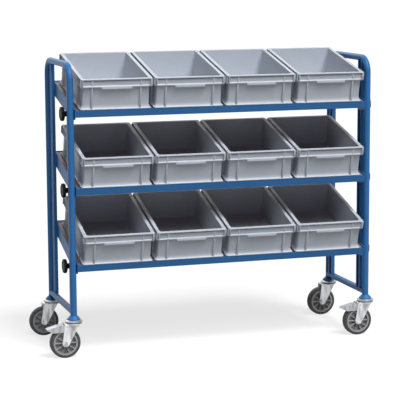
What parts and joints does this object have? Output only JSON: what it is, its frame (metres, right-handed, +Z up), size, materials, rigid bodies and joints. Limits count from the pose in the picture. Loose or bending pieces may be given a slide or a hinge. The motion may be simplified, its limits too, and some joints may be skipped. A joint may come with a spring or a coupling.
{
  "type": "assembly trolley",
  "caption": "Wheeled trolley with bent-tube end frames and tilting shelves that hold rows of open stacking containers for small parts at an assembly place.",
  "frame": {"origin": "on the floor, midway between the four legs", "axes": "+X along the shelves to the right as seen from the front, +Y to the rear, +Z up"},
  "size_m": [1.43, 0.5138, 1.2156],
  "materials": {
    "blue_powder_coat": "satin",
    "wood_board": "matte",
    "grey_container": "matte",
    "black_knob": "gloss",
    "pin_steel": "satin",
    "zinc_plated_steel": "satin",
    "grey_hub": "matte",
    "grey_tyre": "matte"
  },
  "bodies": {
    "frame": {"foot_flanges": "blue_powder_coat", "caster_heads": "zinc_plated_steel", "left_end_tube": "blue_powder_coat", "left_crossbar": "blue_powder_coat", "left_front_rail": "blue_powder_coat", "left_rear_rail": "blue_powder_coat", "right_end_tube": "blue_powder_coat", "right_crossbar": "blue_powder_coat", "right_front_rail": "blue_powder_coat", "right_rear_rail": "blue_powder_coat"},
    "lower_shelf": {"lower_shelf_edge_rails": "blue_powder_coat", "lower_shelf_side_plates": "blue_powder_coat", "lower_shelf_board": "wood_board", "lower_shelf_pins": "pin_steel"},
    "lower_left_knob": {"lower_left_knob": "black_knob"},
    "lower_right_knob": {"lower_right_knob": "black_knob"},
    "lower_container_1": {"lower_container_1": "grey_container"},
    "lower_container_2": {"lower_container_2": "grey_container"},
    "lower_container_3": {"lower_container_3": "grey_container"},
    "lower_container_4": {"lower_container_4": "grey_container"},
    "middle_shelf": {"middle_shelf_edge_rails": "blue_powder_coat", "middle_shelf_side_plates": "blue_powder_coat", "middle_shelf_board": "wood_board", "middle_shelf_pins": "pin_steel"},
    "middle_left_knob": {"middle_left_knob": "black_knob"},
    "middle_right_knob": {"middle_right_knob": "black_knob"},
    "middle_container_1": {"middle_container_1": "grey_container"},
    "middle_container_2": {"middle_container_2": "grey_container"},
    "middle_container_3": {"middle_container_3": "grey_container"},
    "middle_container_4": {"middle_container_4": "grey_container"},
    "upper_shelf": {"upper_shelf_edge_rails": "blue_powder_coat", "upper_shelf_side_plates": "blue_powder_coat", "upper_shelf_board": "wood_board", "upper_shelf_pins": "pin_steel"},
    "upper_left_knob": {"upper_left_knob": "black_knob"},
    "upper_right_knob": {"upper_right_knob": "black_knob"},
    "upper_container_1": {"upper_container_1": "grey_container"},
    "upper_container_2": {"upper_container_2": "grey_container"},
    "upper_container_3": {"upper_container_3": "grey_container"},
    "upper_container_4": {"upper_container_4": "grey_container"},
    "left_front_caster": {"left_front_caster_fork": "zinc_plated_steel", "left_front_axle": "zinc_plated_steel"},
    "left_front_wheel": {"left_front_wheel_hub": "grey_hub", "left_front_tyre": "grey_tyre"},
    "left_front_brake": {"left_front_brake_pedal": "zinc_plated_steel"},
    "left_rear_caster": {"left_rear_caster_fork": "zinc_plated_steel", "left_rear_axle": "zinc_plated_steel"},
    "left_rear_wheel": {"left_rear_wheel_hub": "grey_hub", "left_rear_tyre": "grey_tyre"},
    "right_front_caster": {"right_front_caster_fork": "zinc_plated_steel", "right_front_axle": "zinc_plated_steel"},
    "right_front_wheel": {"right_front_wheel_hub": "grey_hub", "right_front_tyre": "grey_tyre"},
    "right_front_brake": {"right_front_brake_pedal": "zinc_plated_steel"},
    "right_rear_caster": {"right_rear_caster_fork": "zinc_plated_steel", "right_rear_axle": "zinc_plated_steel"},
    "right_rear_wheel": {"right_rear_wheel_hub": "grey_hub", "right_rear_tyre": "grey_tyre"}
  },
  "joints": [
    {"name": "lower_shelf_tilt", "type": "hinge", "parent": "frame", "child": "lower_shelf", "pos_m": [0, -0.1565, 0.367], "axis": [1, 0, 0], "range_deg": [-17.2, 0.8]},
    {"name": "lower_left_knob_turn", "type": "hinge", "parent": "lower_shelf", "child": "lower_left_knob", "pos_m": [-0.64, -0.1565, 0.367], "axis": [-1, 0, 0], "range_deg": [0, 360]},
    {"name": "lower_right_knob_turn", "type": "hinge", "parent": "lower_shelf", "child": "lower_right_knob", "pos_m": [0.64, -0.1565, 0.367], "axis": [1, 0, 0], "range_deg": [0, 360]},
    {"name": "lower_container_1_draw", "type": "slide", "parent": "lower_shelf", "child": "lower_container_1", "axis": [0, -0.9988, 0.0489], "range_m": [0, 0.45]},
    {"name": "lower_container_2_draw", "type": "slide", "parent": "lower_shelf", "child": "lower_container_2", "axis": [0, -0.9988, 0.0489], "range_m": [0, 0.45]},
    {"name": "lower_container_3_draw", "type": "slide", "parent": "lower_shelf", "child": "lower_container_3", "axis": [0, -0.9988, 0.0489], "range_m": [0, 0.45]},
    {"name": "lower_container_4_draw", "type": "slide", "parent": "lower_shelf", "child": "lower_container_4", "axis": [0, -0.9988, 0.0489], "range_m": [0, 0.45]},
    {"name": "middle_shelf_tilt", "type": "hinge", "parent": "frame", "child": "middle_shelf", "pos_m": [0, -0.1565, 0.677], "axis": [1, 0, 0], "range_deg": [-15, 3]},
    {"name": "middle_left_knob_turn", "type": "hinge", "parent": "middle_shelf", "child": "middle_left_knob", "pos_m": [-0.64, -0.1565, 0.677], "axis": [-1, 0, 0], "range_deg": [0, 360]},
    {"name": "middle_right_knob_turn", "type": "hinge", "parent": "middle_shelf", "child": "middle_right_knob", "pos_m": [0.64, -0.1565, 0.677], "axis": [1, 0, 0], "range_deg": [0, 360]},
    {"name": "middle_container_1_draw", "type": "slide", "parent": "middle_shelf", "child": "middle_container_1", "axis": [0, -0.9962, 0.0872], "range_m": [0, 0.45]},
    {"name": "middle_container_2_draw", "type": "slide", "parent": "middle_shelf", "child": "middle_container_2", "axis": [0, -0.9962, 0.0872], "range_m": [0, 0.45]},
    {"name": "middle_container_3_draw", "type": "slide", "parent": "middle_shelf", "child": "middle_container_3", "axis": [0, -0.9962, 0.0872], "range_m": [0, 0.45]},
    {"name": "middle_container_4_draw", "type": "slide", "parent": "middle_shelf", "child": "middle_container_4", "axis": [0, -0.9962, 0.0872], "range_m": [0, 0.45]},
    {"name": "upper_shelf_tilt", "type": "hinge", "parent": "frame", "child": "upper_shelf", "pos_m": [0, -0.1565, 0.987], "axis": [1, 0, 0], "range_deg": [-12.8, 5.2]},
    {"name": "upper_left_knob_turn", "type": "hinge", "parent": "upper_shelf", "child": "upper_left_knob", "pos_m": [-0.64, -0.1565, 0.987], "axis": [-1, 0, 0], "range_deg": [0, 360]},
    {"name": "upper_right_knob_turn", "type": "hinge", "parent": "upper_shelf", "child": "upper_right_knob", "pos_m": [0.64, -0.1565, 0.987], "axis": [1, 0, 0], "range_deg": [0, 360]},
    {"name": "upper_container_1_draw", "type": "slide", "parent": "upper_shelf", "child": "upper_container_1", "axis": [0, -0.9921, 0.1253], "range_m": [0, 0.45]},
    {"name": "upper_container_2_draw", "type": "slide", "parent": "upper_shelf", "child": "upper_container_2", "axis": [0, -0.9921, 0.1253], "range_m": [0, 0.45]},
    {"name": "upper_container_3_draw", "type": "slide", "parent": "upper_shelf", "child": "upper_container_3", "axis": [0, -0.9921, 0.1253], "range_m": [0, 0.45]},
    {"name": "upper_container_4_draw", "type": "slide", "parent": "upper_shelf", "child": "upper_container_4", "axis": [0, -0.9921, 0.1253], "range_m": [0, 0.45]},
    {"name": "left_front_caster_swivel", "type": "hinge", "parent": "frame", "child": "left_front_caster", "pos_m": [-0.64, -0.2085, 0.1385], "axis": [0, 0, 1], "continuous": true},
    {"name": "left_front_wheel_roll", "type": "hinge", "parent": "left_front_caster", "child": "left_front_wheel", "pos_m": [-0.678, -0.2085, 0.0625], "axis": [0, 1, 0], "continuous": true},
    {"name": "left_front_brake_press", "type": "hinge", "parent": "left_front_caster", "child": "left_front_brake", "pos_m": [-0.672, -0.2085, 0.131], "axis": [0, -1, 0], "range_deg": [0, 7]},
    {"name": "left_rear_caster_swivel", "type": "hinge", "parent": "frame", "child": "left_rear_caster", "pos_m": [-0.64, 0.2085, 0.1385], "axis": [0, 0, 1], "continuous": true},
    {"name": "left_rear_wheel_roll", "type": "hinge", "parent": "left_rear_caster", "child": "left_rear_wheel", "pos_m": [-0.678, 0.2085, 0.0625], "axis": [0, 1, 0], "continuous": true},
    {"name": "right_front_caster_swivel", "type": "hinge", "parent": "frame", "child": "right_front_caster", "pos_m": [0.64, -0.2085, 0.1385], "axis": [0, 0, 1], "continuous": true},
    {"name": "right_front_wheel_roll", "type": "hinge", "parent": "right_front_caster", "child": "right_front_wheel", "pos_m": [0.602, -0.2085, 0.0625], "axis": [0, 1, 0], "continuous": true},
    {"name": "right_front_brake_press", "type": "hinge", "parent": "right_front_caster", "child": "right_front_brake", "pos_m": [0.608, -0.2085, 0.131], "axis": [0, -1, 0], "range_deg": [0, 7]},
    {"name": "right_rear_caster_swivel", "type": "hinge", "parent": "frame", "child": "right_rear_caster", "pos_m": [0.64, 0.2085, 0.1385], "axis": [0, 0, 1], "continuous": true},
    {"name": "right_rear_wheel_roll", "type": "hinge", "parent": "right_rear_caster", "child": "right_rear_wheel", "pos_m": [0.602, 0.2085, 0.0625], "axis": [0, 1, 0], "continuous": true}
  ]
}
